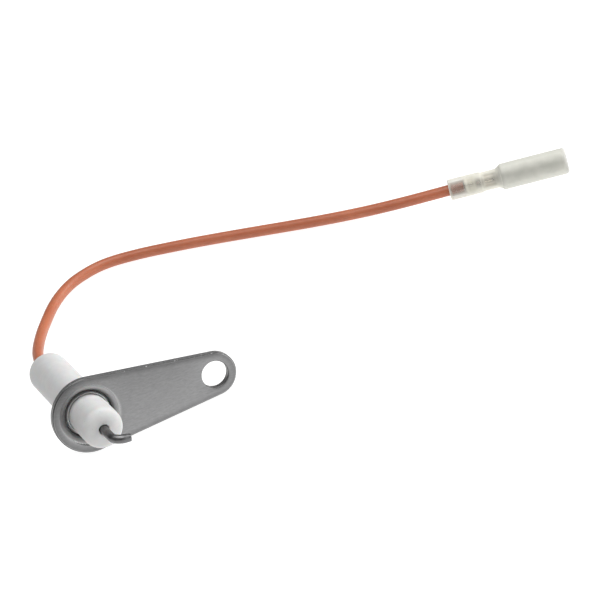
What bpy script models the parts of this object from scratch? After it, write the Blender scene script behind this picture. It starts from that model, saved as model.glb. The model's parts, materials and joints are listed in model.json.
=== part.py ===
"""Flame sensor probe: a bent sensing rod in a round ceramic, held by a stamped bracket, with its lead wire.

It lies on a surface, z = 0, on the bracket's lower straight edge and the ceramic's rear rim, so the ceramic's
nose points to -Y and a little up. The bracket's screw-hole end points to +X, and the lead wire runs away
along +Y, turns to +X and ends in an insulated female bullet terminal.
"""

import math

import bmesh
import bpy
from mathutils import Vector

# Gap kept between pieces that touch, in metres like every other length here.
GAP = 0.0003
ROUND_STEPS = 64

# Bracket: a flat stamping with a teardrop outline. Its collar is drawn backwards round the ceramic.
PLATE_THICKNESS = 0.00165
WIDE_END_RADIUS = 0.00875
NARROW_END_RADIUS = 0.00515
SCREW_HOLE_DISTANCE = 0.030
SCREW_HOLE_RADIUS = 0.00317
PLATE_EDGE_ROUNDING = 0.00015
COLLAR_BORE_RADIUS = 0.00536
COLLAR_FRONT_ROUNDING = 0.00204
COLLAR_OUTER_RADIUS = 0.00696
COLLAR_DEPTH = 0.0052
COLLAR_BACK_ROUNDING = 0.0006
COLLAR_LIP_THICKNESS = 0.0008
COLLAR_LIP_RADIUS = 0.00508
COLLAR_SWAGE_ROUNDING = 0.0011
SEAT_DEPTH = 0.0023
SEAT_RADIUS = 0.00596

# Ceramic: a round rod holder with a flange that the collar holds. Heights are along its axis, nose up,
# counted from the plate's front face.
NOSE_RADIUS = 0.0047
NOSE_HEIGHT = 0.0100
NOSE_ROUNDING = 0.0011
PILOT_RADIUS = 0.00518
PILOT_HEIGHT = -0.0010
FLANGE_RADIUS = 0.00572
REAR_RADIUS = 0.00478
REAR_LENGTH = 0.0335
REAR_ROUNDING = 0.0005
ROD_BORE_RADIUS = 0.00125
COUNTERBORE_RADIUS = 0.0029
COUNTERBORE_DEPTH = 0.016

# Sensing rod, bent square at its front end.
ROD_RADIUS = 0.0010
ROD_TOP = 0.0179
ROD_BOTTOM = -0.0240
ROD_BEND_RADIUS = 0.0022
ROD_LEG_LENGTH = 0.0040

# Joint between rod and lead, inside the counterbore, and the cement plug that closes it.
FERRULE_OUTER_RADIUS = 0.0019
FERRULE_INNER_RADIUS = 0.0013
FERRULE_TOP = -0.0205
FERRULE_BOTTOM = -0.0285
FERRULE_WAIST = 0.0001
SEAL_INNER_RADIUS = 0.00165
SEAL_THICKNESS = 0.0032

# Lead wire and its stranded core.
WIRE_RADIUS = 0.00134
WIRE_START = -0.0295
WIRE_POINT_SPACING = 0.0054
CORE_RADIUS = 0.00065
INNER_CORE_TOP = -0.0246

# Bullet terminal and its stepped sleeve. Distances are along the sleeve's axis, from the wire's mouth.
SLEEVE_LENGTH = 0.0292
SLEEVE_BARREL_RADIUS = 0.00255
SLEEVE_BARREL_LENGTH = 0.0079
SLEEVE_NECK_RADIUS = 0.00233
SLEEVE_NECK_END = 0.0116
SLEEVE_BODY_RADIUS = 0.00317
SLEEVE_BODY_START = 0.0129
SLEEVE_MOUTH_ROUNDING = 0.0003
SLEEVE_STEP_ROUNDING = 0.0003
SLEEVE_END_CHAMFER = 0.00025
SLEEVE_SOCKET_RADIUS = 0.00260
SLEEVE_CRIMP_BORE_RADIUS = 0.0020
SLEEVE_WIRE_BORE_RADIUS = 0.00165
WIRE_IN_SLEEVE = 0.0036
TERMINAL_BARREL_RADIUS = 0.0017
TERMINAL_BARREL_BORE = 0.0012
TERMINAL_BARREL_END = 0.0116
TERMINAL_SOCKET_RADIUS = 0.0023
TERMINAL_SOCKET_BORE = 0.0020
TERMINAL_SOCKET_START = 0.0132
TERMINAL_END = 0.0262
TERMINAL_SLOT_WIDTH = 0.0006
OUTER_CORE_END = 0.0096

# How the pieces are turned about the ceramic's axis, seen from the nose, and where the terminal lies.
BRACKET_TURN = -math.asin((WIDE_END_RADIUS - NARROW_END_RADIUS) / SCREW_HOLE_DISTANCE)
ROD_LEG_TURN = math.radians(-14.9)
SLEEVE_HEADING = math.radians(-20.8)
SLEEVE_MOUTH = Vector((0.1073, 0.03585, SLEEVE_BODY_RADIUS))

# The lead's route behind the ceramic, x and y from below the plate's centre, z above the surface.
LEAD_ROUTE = [
    (0.0000, 0.0372, 0.00412),
    (0.0004, 0.0425, 0.00345),
    (0.0018, 0.0482, 0.00275),
    (0.0050, 0.0558, 0.00195),
    (0.0087, 0.0624, 0.00150),
    (0.0123, 0.0678, 0.00136),
    (0.0162, 0.0720, 0.00136),
    (0.0201, 0.0748, 0.00136),
    (0.0241, 0.0763, 0.00136),
    (0.0281, 0.0769, 0.00136),
    (0.0320, 0.0764, 0.00136),
    (0.0357, 0.0752, 0.00136),
    (0.0392, 0.0738, 0.00136),
    (0.0428, 0.0721, 0.00136),
    (0.0498, 0.0685, 0.00136),
    (0.0566, 0.0647, 0.00136),
    (0.0634, 0.0607, 0.00137),
    (0.0701, 0.0566, 0.00142),
    (0.0768, 0.0525, 0.00152),
    (0.0835, 0.0485, 0.00170),
    (0.0902, 0.0447, 0.00198),
    (0.0970, 0.0411, 0.00238),
    (0.1037, 0.0376, 0.00292),
]


def resting_tilt():
    """Angle at which the bracket's wide end and the ceramic's rounded rear rim touch the surface together."""
    rise = WIDE_END_RADIUS - REAR_RADIUS + REAR_ROUNDING
    run = REAR_LENGTH - REAR_ROUNDING - PLATE_THICKNESS
    return math.acos(REAR_ROUNDING / math.hypot(rise, run)) - math.atan2(run, rise)


TILT = resting_tilt()
AXIS_HEIGHT = WIDE_END_RADIUS * math.cos(TILT) + PLATE_THICKNESS * math.sin(TILT)

# The probe's reach from the plate's centre each way, and the offset that centres it on the origin.
REACH_LEFT = WIDE_END_RADIUS
REACH_RIGHT = SCREW_HOLE_DISTANCE * math.cos(BRACKET_TURN) + NARROW_END_RADIUS
REACH_FRONT = ROD_TOP * math.cos(TILT) + ROD_RADIUS
REACH_FRONT -= ROD_LEG_LENGTH * math.sin(ROD_LEG_TURN) * math.sin(TILT)
REACH_REAR = (REAR_LENGTH - REAR_ROUNDING) * math.cos(TILT) + REAR_ROUNDING
REACH_REAR += (REAR_RADIUS - REAR_ROUNDING) * math.sin(TILT)
PLATE_CENTRE = Vector(((REACH_LEFT - REACH_RIGHT) / 2, (REACH_FRONT - REACH_REAR) / 2, AXIS_HEIGHT))
NOSE_DIRECTION = Vector((0, -math.cos(TILT), math.sin(TILT)))


def clear_scene():
    for old in list(bpy.data.objects):
        bpy.data.objects.remove(old)


def make_material(name, colour, roughness, metallic=0.0, alpha=1.0):
    material = bpy.data.materials.new(name)
    material.use_nodes = True
    shader = material.node_tree.nodes["Principled BSDF"]
    shader.inputs["Base Color"].default_value = (*colour, 1.0)
    shader.inputs["Roughness"].default_value = roughness
    shader.inputs["Metallic"].default_value = metallic
    shader.inputs["Alpha"].default_value = alpha
    material.diffuse_color = (*colour, alpha)
    return material


def make_empty(name, location, rotation, parent=None):
    empty = bpy.data.objects.new(name, None)
    empty.location = location
    empty.rotation_euler = rotation
    empty.parent = parent
    empty.empty_display_size = 0.01
    bpy.context.scene.collection.objects.link(empty)
    return empty


def link_object(name, data, parent, material=None):
    piece = bpy.data.objects.new(name, data)
    piece.parent = parent
    if material is not None:
        data.materials.append(material)
    bpy.context.scene.collection.objects.link(piece)
    return piece


def link_mesh(name, bm, parent, material=None):
    bmesh.ops.recalc_face_normals(bm, faces=bm.faces)
    mesh = bpy.data.meshes.new(name)
    bm.to_mesh(mesh)
    bm.free()
    mesh.shade_smooth()
    mesh.set_sharp_from_angle(angle=math.radians(35))
    return link_object(name, mesh, parent, material)


def arc(centre, radius, start, end, steps=6):
    """Points of an arc in a profile's plane, from one angle to the other in degrees."""
    points = []
    for i in range(steps + 1):
        angle = math.radians(start + (end - start) * i / steps)
        points.append((centre[0] + radius * math.cos(angle), centre[1] + radius * math.sin(angle)))
    return points


def turned(name, profile, parent, material=None, steps=ROUND_STEPS):
    """Solid of revolution about local Z, from a closed profile of (radius, height) points."""
    bm = bmesh.new()
    corners = [bm.verts.new((radius, 0, height)) for radius, height in profile]
    for first, second in zip(corners, corners[1:] + corners[:1]):
        bm.edges.new((first, second))
    bmesh.ops.spin(bm, geom=bm.verts[:] + bm.edges[:], cent=(0, 0, 0), axis=(0, 0, 1), angle=math.tau,
                   steps=steps, use_merge=True)
    bmesh.ops.remove_doubles(bm, verts=bm.verts, dist=1e-7)
    loose = [edge for edge in bm.edges if not edge.link_faces]
    bmesh.ops.delete(bm, geom=loose, context="EDGES")
    return link_mesh(name, bm, parent, material)


def round_bar(name, points, radius, parent, material, resolution):
    """Round bar or wire along points, with square cut ends."""
    curve = bpy.data.curves.new(name, "CURVE")
    curve.dimensions = "3D"
    curve.bevel_depth = radius
    curve.bevel_resolution = resolution
    curve.use_fill_caps = True
    spline = curve.splines.new("POLY")
    spline.points.add(len(points) - 1)
    for spline_point, place in zip(spline.points, points):
        spline_point.co = (*place, 1.0)
    spline.use_smooth = True
    return link_object(name, curve, parent, material)


def make_cutter(cutter):
    cutter.hide_render = True
    cutter.display_type = "WIRE"
    return cutter


def add_boolean(piece, operation, other):
    modifier = piece.modifiers.new(operation.lower(), "BOOLEAN")
    modifier.operation = operation
    modifier.solver = "EXACT"
    modifier.object = other


def teardrop_outline():
    """Outline of two arcs and their common tangents, as points in the plate's plane."""
    lean = math.degrees(math.acos((WIDE_END_RADIUS - NARROW_END_RADIUS) / SCREW_HOLE_DISTANCE))
    wide = arc((0, 0), WIDE_END_RADIUS, lean, 360 - lean, 44)
    narrow = arc((SCREW_HOLE_DISTANCE, 0), NARROW_END_RADIUS, -lean, lean, 28)
    return wide + narrow


def make_bracket(parent, material):
    bm = bmesh.new()
    outline = [bm.verts.new((x, y, 0)) for x, y in teardrop_outline()]
    face = bm.faces.new(outline)
    extruded = bmesh.ops.extrude_face_region(bm, geom=[face])
    lower = [item for item in extruded["geom"] if isinstance(item, bmesh.types.BMVert)]
    bmesh.ops.translate(bm, verts=lower, vec=(0, 0, -PLATE_THICKNESS))
    bracket = link_mesh("mounting_bracket", bm, parent, material)

    bevel = bracket.modifiers.new("edge_rounding", "BEVEL")
    bevel.width = PLATE_EDGE_ROUNDING
    bevel.segments = 2
    bevel.limit_method = "ANGLE"
    bevel.angle_limit = math.radians(60)

    inside = COLLAR_BORE_RADIUS / 2
    overlap = 0.00002
    buried = -PLATE_THICKNESS / 2
    back_fillet = COLLAR_OUTER_RADIUS + COLLAR_BACK_ROUNDING
    fillet_height = -PLATE_THICKNESS - COLLAR_BACK_ROUNDING
    swage_centre = (COLLAR_OUTER_RADIUS - COLLAR_SWAGE_ROUNDING, -COLLAR_DEPTH + COLLAR_SWAGE_ROUNDING)
    collar_profile = [(inside, buried), (inside, -COLLAR_DEPTH)]
    collar_profile += arc(swage_centre, COLLAR_SWAGE_ROUNDING, -90, 0)
    collar_profile += arc((back_fillet, fillet_height), COLLAR_BACK_ROUNDING + overlap, 180, 90)
    collar_profile.append((back_fillet, buried))
    collar = make_cutter(turned("collar_blank", collar_profile, parent))
    add_boolean(bracket, "UNION", collar)

    rounding_centre = COLLAR_BORE_RADIUS + COLLAR_FRONT_ROUNDING
    lip_top = -COLLAR_DEPTH + COLLAR_LIP_THICKNESS
    bore_profile = [(0, COLLAR_BORE_RADIUS), (rounding_centre, COLLAR_BORE_RADIUS)]
    front_centre = (rounding_centre, -COLLAR_FRONT_ROUNDING + overlap)
    bore_profile += arc(front_centre, COLLAR_FRONT_ROUNDING, 90, 180, 12)
    bore_profile += [(COLLAR_BORE_RADIUS, -SEAT_DEPTH), (SEAT_RADIUS, -SEAT_DEPTH)]
    bore_profile += [(SEAT_RADIUS, lip_top), (COLLAR_LIP_RADIUS, lip_top)]
    bore_profile += [(COLLAR_LIP_RADIUS, -2 * COLLAR_DEPTH), (0, -2 * COLLAR_DEPTH)]
    add_boolean(bracket, "DIFFERENCE", make_cutter(turned("collar_bore", bore_profile, parent)))

    hole_profile = [(0, PLATE_THICKNESS), (SCREW_HOLE_RADIUS, PLATE_THICKNESS)]
    hole_profile += [(SCREW_HOLE_RADIUS, -2 * PLATE_THICKNESS), (0, -2 * PLATE_THICKNESS)]
    hole = make_cutter(turned("screw_hole", hole_profile, parent, steps=48))
    hole.location.x = SCREW_HOLE_DISTANCE
    add_boolean(bracket, "DIFFERENCE", hole)
    return bracket


def make_ceramic(parent, material):
    flange_top = -SEAT_DEPTH - GAP
    flange_bottom = -COLLAR_DEPTH + COLLAR_LIP_THICKNESS + GAP
    counterbore_top = -REAR_LENGTH + COUNTERBORE_DEPTH
    profile = arc((NOSE_RADIUS - NOSE_ROUNDING, NOSE_HEIGHT - NOSE_ROUNDING), NOSE_ROUNDING, 90, 0, 5)
    profile += [(NOSE_RADIUS, PILOT_HEIGHT), (PILOT_RADIUS, PILOT_HEIGHT), (PILOT_RADIUS, flange_top)]
    profile += [(FLANGE_RADIUS, flange_top), (FLANGE_RADIUS, flange_bottom), (REAR_RADIUS, flange_bottom)]
    rear_centre = (REAR_RADIUS - REAR_ROUNDING, -REAR_LENGTH + REAR_ROUNDING)
    profile += arc(rear_centre, REAR_ROUNDING, 0, -90, 4)
    profile += [(COUNTERBORE_RADIUS, -REAR_LENGTH), (COUNTERBORE_RADIUS, counterbore_top)]
    profile += [(ROD_BORE_RADIUS, counterbore_top), (ROD_BORE_RADIUS, NOSE_HEIGHT)]
    return turned("ceramic_insulator", profile, parent, material)


def make_rod(parent, material):
    leg = Vector((math.cos(ROD_LEG_TURN), math.sin(ROD_LEG_TURN), 0))
    up = Vector((0, 0, 1))
    centre = leg * ROD_BEND_RADIUS + up * (ROD_TOP - ROD_BEND_RADIUS)
    points = [up * ROD_BOTTOM]
    for along, height in arc((0, 0), ROD_BEND_RADIUS, 180, 90, 10):
        points.append(centre + leg * along + up * height)
    points.append(leg * ROD_LEG_LENGTH + up * ROD_TOP)
    return round_bar("electrode_rod", points, ROD_RADIUS, parent, material, 6)


def make_ferrule(parent, material):
    middle = (FERRULE_TOP + FERRULE_BOTTOM) / 2
    quarter = (FERRULE_TOP - FERRULE_BOTTOM) / 4
    profile = [(FERRULE_INNER_RADIUS, FERRULE_TOP), (FERRULE_OUTER_RADIUS, FERRULE_TOP)]
    profile += [(FERRULE_OUTER_RADIUS, middle + quarter), (FERRULE_OUTER_RADIUS - FERRULE_WAIST, middle)]
    profile += [(FERRULE_OUTER_RADIUS, middle - quarter), (FERRULE_OUTER_RADIUS, FERRULE_BOTTOM)]
    profile.append((FERRULE_INNER_RADIUS, FERRULE_BOTTOM))
    return turned("rod_ferrule", profile, parent, material, steps=32)


def make_rear_seal(parent, material):
    outer = COUNTERBORE_RADIUS - GAP
    low = -REAR_LENGTH + GAP
    high = low + SEAL_THICKNESS
    profile = [(SEAL_INNER_RADIUS, low), (SEAL_INNER_RADIUS, high), (outer, high), (outer, low)]
    return turned("rear_seal", profile, parent, material, steps=48)


def make_core(name, low, high, parent, material):
    return round_bar(name, [Vector((0, 0, low)), Vector((0, 0, high))], CORE_RADIUS, parent, material, 4)


def make_sleeve(parent, material):
    mouth = SLEEVE_MOUTH_ROUNDING
    step = SLEEVE_STEP_ROUNDING
    body_centre = (SLEEVE_BODY_RADIUS - step, SLEEVE_BODY_START + step)
    profile = arc((SLEEVE_BARREL_RADIUS - mouth, mouth), mouth, -90, 0, 3)
    profile += [(SLEEVE_BARREL_RADIUS, SLEEVE_BARREL_LENGTH)]
    profile += [(SLEEVE_NECK_RADIUS, SLEEVE_BARREL_LENGTH + step), (SLEEVE_NECK_RADIUS, SLEEVE_NECK_END)]
    profile += arc(body_centre, step, -45, 0, 3)
    end_height = SLEEVE_LENGTH - SLEEVE_END_CHAMFER
    profile += [(SLEEVE_BODY_RADIUS, end_height), (SLEEVE_BODY_RADIUS - SLEEVE_END_CHAMFER, SLEEVE_LENGTH)]
    socket_start = SLEEVE_BODY_START + 2 * step
    profile += [(SLEEVE_SOCKET_RADIUS, SLEEVE_LENGTH), (SLEEVE_SOCKET_RADIUS, socket_start)]
    profile += [(SLEEVE_CRIMP_BORE_RADIUS, SLEEVE_NECK_END), (SLEEVE_CRIMP_BORE_RADIUS, WIRE_IN_SLEEVE)]
    profile += [(SLEEVE_WIRE_BORE_RADIUS, WIRE_IN_SLEEVE), (SLEEVE_WIRE_BORE_RADIUS, mouth)]
    profile.append((SLEEVE_WIRE_BORE_RADIUS + mouth, 0))
    return turned("terminal_sleeve", profile, parent, material, steps=48)


def make_terminal(parent, material):
    start = WIRE_IN_SLEEVE + GAP
    inner_step = TERMINAL_BARREL_END + TERMINAL_SOCKET_BORE - TERMINAL_BARREL_BORE
    profile = [(TERMINAL_BARREL_BORE, start), (TERMINAL_BARREL_RADIUS, start)]
    profile.append((TERMINAL_BARREL_RADIUS, TERMINAL_BARREL_END))
    profile.append((TERMINAL_SOCKET_RADIUS, TERMINAL_SOCKET_START))
    profile += [(TERMINAL_SOCKET_RADIUS, TERMINAL_END), (TERMINAL_SOCKET_BORE, TERMINAL_END)]
    profile += [(TERMINAL_SOCKET_BORE, inner_step + GAP), (TERMINAL_BARREL_BORE, TERMINAL_BARREL_END + GAP)]
    terminal = turned("bullet_terminal", profile, parent, material, steps=48)

    slot = bmesh.new()
    bmesh.ops.create_cube(slot, size=1)
    length = TERMINAL_END - TERMINAL_SOCKET_START
    size = (TERMINAL_SLOT_WIDTH, 2 * TERMINAL_SOCKET_RADIUS, length)
    bmesh.ops.scale(slot, vec=size, verts=slot.verts)
    middle = Vector((0, TERMINAL_SOCKET_RADIUS, TERMINAL_END - length / 2 + 2 * GAP))
    bmesh.ops.translate(slot, verts=slot.verts, vec=middle)
    add_boolean(terminal, "DIFFERENCE", make_cutter(link_mesh("socket_slot", slot, parent)))
    return terminal


def smooth_route(route, spacing):
    """Evenly spaced points on a smooth curve through the route's points."""
    ends = [2 * route[0] - route[1]] + route + [2 * route[-1] - route[-2]]
    dense = []
    for before, first, second, after in zip(ends, ends[1:], ends[2:], ends[3:]):
        for step in range(20):
            t = step / 20
            dense.append(0.5 * (2 * first + (second - before) * t
                                + (2 * before - 5 * first + 4 * second - after) * t ** 2
                                + (3 * first - before - 3 * second + after) * t ** 3))
    dense.append(route[-1])
    travelled = [0.0]
    for first, second in zip(dense, dense[1:]):
        travelled.append(travelled[-1] + (second - first).length)
    count = round(travelled[-1] / spacing)
    points = []
    index = 0
    for number in range(count + 1):
        target = travelled[-1] * number / count
        while index < len(dense) - 2 and travelled[index + 1] < target:
            index += 1
        share = (target - travelled[index]) / (travelled[index + 1] - travelled[index])
        points.append(dense[index].lerp(dense[index + 1], share))
    return points


def lead_points():
    """The whole lead: inside the ceramic, along the surface, and into the sleeve's mouth."""
    ground = Vector((PLATE_CENTRE.x, PLATE_CENTRE.y, 0))
    heading = Vector((math.cos(SLEEVE_HEADING), math.sin(SLEEVE_HEADING), 0))
    mouth = ground + SLEEVE_MOUTH
    inside = [PLATE_CENTRE + NOSE_DIRECTION * WIRE_START, PLATE_CENTRE - NOSE_DIRECTION * REAR_LENGTH]
    free = [ground + Vector(place) for place in LEAD_ROUTE]
    return smooth_route(inside + free + [mouth, mouth + heading * WIRE_IN_SLEEVE], WIRE_POINT_SPACING)


def build():
    clear_scene()
    steel = make_material("bracket_steel", (0.34, 0.34, 0.35), 0.42, 1.0)
    ceramic = make_material("white_ceramic", (0.82, 0.82, 0.82), 0.55)
    rod_metal = make_material("rod_metal", (0.18, 0.18, 0.19), 0.45, 1.0)
    ferrule_metal = make_material("ferrule_metal", (0.55, 0.55, 0.56), 0.4, 1.0)
    cement = make_material("seal_cement", (0.72, 0.70, 0.64), 0.9)
    insulation = make_material("wire_insulation", (0.62, 0.20, 0.09), 0.5)
    copper = make_material("tinned_copper", (0.70, 0.58, 0.48), 0.35, 1.0)
    nylon = make_material("frosted_nylon", (0.66, 0.67, 0.60), 0.5, 0.0, 0.6)
    tin = make_material("terminal_tin", (0.60, 0.60, 0.58), 0.35, 1.0)

    probe = make_empty("probe_axis", PLATE_CENTRE, (math.radians(90) - TILT, 0, 0))
    make_ceramic(probe, ceramic)
    make_rod(probe, rod_metal)
    make_ferrule(probe, ferrule_metal)
    make_rear_seal(probe, cement)
    make_core("lead_conductor_inner", WIRE_START + GAP, INNER_CORE_TOP, probe, copper)

    swivel = make_empty("bracket_swivel", (0, 0, 0), (0, 0, BRACKET_TURN), probe)
    make_bracket(swivel, steel)

    round_bar("lead_wire", lead_points(), WIRE_RADIUS, None, insulation, 2)

    mouth = SLEEVE_MOUTH + Vector((PLATE_CENTRE.x, PLATE_CENTRE.y, 0))
    connector = make_empty("connector_axis", mouth, (math.radians(90), 0, SLEEVE_HEADING + math.radians(90)))
    make_sleeve(connector, nylon)
    make_terminal(connector, tin)
    make_core("lead_conductor_outer", WIRE_IN_SLEEVE + GAP, OUTER_CORE_END, connector, copper)
    bpy.context.view_layer.update()


build()
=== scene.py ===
"""Looks of the flame sensor probe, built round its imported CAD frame. Lengths are in metres."""

import json
import math

import bmesh
import bpy
from mathutils import Matrix, Vector, noise


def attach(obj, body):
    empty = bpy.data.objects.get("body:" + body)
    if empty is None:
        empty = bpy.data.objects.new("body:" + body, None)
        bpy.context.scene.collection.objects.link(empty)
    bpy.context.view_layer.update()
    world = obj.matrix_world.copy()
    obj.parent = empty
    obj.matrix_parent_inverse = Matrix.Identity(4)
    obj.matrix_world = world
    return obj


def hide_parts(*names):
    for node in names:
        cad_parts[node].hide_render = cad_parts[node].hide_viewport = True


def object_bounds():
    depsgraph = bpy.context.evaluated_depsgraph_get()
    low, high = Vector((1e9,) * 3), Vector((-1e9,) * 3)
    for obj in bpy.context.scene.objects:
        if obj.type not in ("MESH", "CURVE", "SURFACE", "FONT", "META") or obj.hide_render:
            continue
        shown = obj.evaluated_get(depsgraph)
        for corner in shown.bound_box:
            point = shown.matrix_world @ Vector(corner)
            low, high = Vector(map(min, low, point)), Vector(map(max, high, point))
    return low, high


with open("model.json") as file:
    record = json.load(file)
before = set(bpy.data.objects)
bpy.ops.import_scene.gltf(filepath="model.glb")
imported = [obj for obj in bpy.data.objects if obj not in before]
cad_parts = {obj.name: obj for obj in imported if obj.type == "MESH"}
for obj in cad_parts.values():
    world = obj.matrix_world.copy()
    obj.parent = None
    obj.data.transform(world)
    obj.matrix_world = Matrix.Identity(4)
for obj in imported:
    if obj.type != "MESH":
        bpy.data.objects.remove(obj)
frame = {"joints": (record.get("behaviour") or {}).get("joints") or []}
cad_low, cad_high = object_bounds()

# The probe's own axes: nose direction is Z, world X stays X. They come from the bracket's joint.
swivel = frame["joints"][0]
centre = Vector(swivel["pos_m"])
nose = Vector(swivel["axis"]).normalized()
ground = Vector((centre.x, centre.y, 0))

# Sizes repeated from the CAD part.
PLATE_THICKNESS = 0.00165
WIDE_END_RADIUS = 0.00875
NARROW_END_RADIUS = 0.00515
SCREW_HOLE_DISTANCE = 0.030
SCREW_HOLE_RADIUS = 0.00317
COLLAR_BORE_RADIUS = 0.00536
COLLAR_FRONT_ROUNDING = 0.00204
COLLAR_OUTER_RADIUS = 0.00696
COLLAR_DEPTH = 0.0052
COLLAR_BACK_ROUNDING = 0.0006
COLLAR_LIP_THICKNESS = 0.0008
COLLAR_LIP_RADIUS = 0.00508
COLLAR_SWAGE_ROUNDING = 0.0011
SEAT_DEPTH = 0.0023
SEAT_RADIUS = 0.00596
NOSE_RADIUS = 0.0047
NOSE_HEIGHT = 0.0100
PILOT_HEIGHT = -0.0010
FLANGE_RADIUS = 0.00572
REAR_RADIUS = 0.00478
REAR_LENGTH = 0.0335
COUNTERBORE_RADIUS = 0.0029
COUNTERBORE_DEPTH = 0.016
ROD_RADIUS = 0.0010
ROD_TOP = 0.0179
ROD_BOTTOM = -0.0240
ROD_BEND_RADIUS = 0.0022
ROD_LEG_LENGTH = 0.0040
FERRULE_OUTER_RADIUS = 0.0019
FERRULE_INNER_RADIUS = 0.0013
FERRULE_TOP = -0.0205
FERRULE_BOTTOM = -0.0285
SEAL_THICKNESS = 0.0032
WIRE_RADIUS = 0.00134
WIRE_START = -0.0295
INNER_CORE_TOP = -0.0246
GAP = 0.0003
SLEEVE_LENGTH = 0.0292
SLEEVE_BARREL_RADIUS = 0.00255
SLEEVE_BARREL_LENGTH = 0.0079
SLEEVE_NECK_RADIUS = 0.00233
SLEEVE_NECK_END = 0.0116
SLEEVE_BODY_RADIUS = 0.00317
SLEEVE_BODY_START = 0.0129
SLEEVE_SOCKET_RADIUS = 0.00260
SLEEVE_CRIMP_BORE_RADIUS = 0.0020
SLEEVE_WIRE_BORE_RADIUS = 0.00165
WIRE_IN_SLEEVE = 0.0036
TERMINAL_BARREL_RADIUS = 0.0017
TERMINAL_BARREL_BORE = 0.0012
TERMINAL_SOCKET_RADIUS = 0.0023
TERMINAL_SOCKET_BORE = 0.0020
TERMINAL_END = 0.0262
OUTER_CORE_END = 0.0096
BRACKET_TURN = -math.asin((WIDE_END_RADIUS - NARROW_END_RADIUS) / SCREW_HOLE_DISTANCE)
ROD_LEG_TURN = math.radians(-14.9)
SLEEVE_HEADING = math.radians(-20.8)
SLEEVE_MOUTH = Vector((0.1073, 0.03585, SLEEVE_BODY_RADIUS))

# Heights along the terminal, from the sleeve's mouth, that its shape and its material share.
GRIP_END = 0.0068
THROAT_END = 0.0086
GRIP_PINCH_HEIGHT = 0.0053
CRIMP_PRESS_HEIGHT = 0.0101
CRIMP_SIDE = math.radians(150)

# The camera, from the point on the surface below the plate's centre.
CAMERA_PLACE = Vector((-0.10005271, -0.56943169, 0.34505303))
CAMERA_LOOK = Vector((0.22750368, 0.84152202, -0.48998242))
CAMERA_RIGHT = Vector((0.88549721, -0.388127, -0.25544496))

# The lead's route behind the ceramic, x and y from below the plate's centre, z above the surface.
LEAD_ROUTE = [
    (0.0000, 0.0372, 0.00412),
    (0.0004, 0.0425, 0.00345),
    (0.0018, 0.0482, 0.00275),
    (0.0050, 0.0558, 0.00195),
    (0.0087, 0.0624, 0.00150),
    (0.0123, 0.0678, 0.00136),
    (0.0162, 0.0720, 0.00136),
    (0.0201, 0.0748, 0.00136),
    (0.0241, 0.0763, 0.00136),
    (0.0281, 0.0769, 0.00136),
    (0.0320, 0.0764, 0.00136),
    (0.0357, 0.0752, 0.00136),
    (0.0392, 0.0738, 0.00136),
    (0.0428, 0.0721, 0.00136),
    (0.0498, 0.0685, 0.00136),
    (0.0566, 0.0647, 0.00136),
    (0.0634, 0.0607, 0.00137),
    (0.0701, 0.0566, 0.00142),
    (0.0768, 0.0525, 0.00152),
    (0.0835, 0.0485, 0.00170),
    (0.0902, 0.0447, 0.00198),
    (0.0970, 0.0411, 0.00238),
    (0.1037, 0.0376, 0.00292),
]


def axes_matrix(origin, x_axis, z_axis):
    """Matrix of a local frame from its origin and two of its axes."""
    x_axis = x_axis.normalized()
    z_axis = z_axis.normalized()
    y_axis = z_axis.cross(x_axis)
    matrix = Matrix.Identity(4)
    for row in range(3):
        matrix[row] = (x_axis[row], y_axis[row], z_axis[row], origin[row])
    return matrix


probe_axes = axes_matrix(centre, Vector((1, 0, 0)), nose)
bracket_axes = probe_axes @ Matrix.Rotation(BRACKET_TURN, 4, "Z")
heading = Vector((math.cos(SLEEVE_HEADING), math.sin(SLEEVE_HEADING), 0))
connector_axes = axes_matrix(ground + SLEEVE_MOUTH, Vector((-heading.y, heading.x, 0)), heading)


# ---------------------------------------------------------------- camera and the lead

def make_camera():
    """Long lens, turned about its own axis, aimed beyond the middle of the object."""
    data = bpy.data.cameras.new("camera")
    data.lens = 180
    data.sensor_width = 36
    data.clip_start = 0.05
    data.clip_end = 20
    camera = bpy.data.objects.new("camera", data)
    bpy.context.scene.collection.objects.link(camera)
    camera.matrix_world = axes_matrix(ground + CAMERA_PLACE, CAMERA_RIGHT, -CAMERA_LOOK)
    bpy.context.scene.camera = camera


make_camera()


def smooth_route(route, spacing):
    """Evenly spaced points on a smooth curve (Catmull-Rom) through the route's points."""
    dense_steps = 20
    ends = [2 * route[0] - route[1]] + route + [2 * route[-1] - route[-2]]
    dense = []
    for before, first, second, after in zip(ends, ends[1:], ends[2:], ends[3:]):
        for step in range(dense_steps):
            t = step / dense_steps
            dense.append(0.5 * (2 * first + (second - before) * t
                                + (2 * before - 5 * first + 4 * second - after) * t ** 2
                                + (3 * first - before - 3 * second + after) * t ** 3))
    dense.append(route[-1])
    travelled = [0.0]
    for first, second in zip(dense, dense[1:]):
        travelled.append(travelled[-1] + (second - first).length)
    count = round(travelled[-1] / spacing)
    points = []
    index = 0
    for number in range(count + 1):
        target = travelled[-1] * number / count
        while index < len(dense) - 2 and travelled[index + 1] < target:
            index += 1
        share = (target - travelled[index]) / (travelled[index + 1] - travelled[index])
        points.append(dense[index].lerp(dense[index + 1], share))
    return points


def link(name, data):
    """An object of the data, in the scene."""
    piece = bpy.data.objects.new(name, data)
    bpy.context.scene.collection.objects.link(piece)
    return piece


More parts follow.
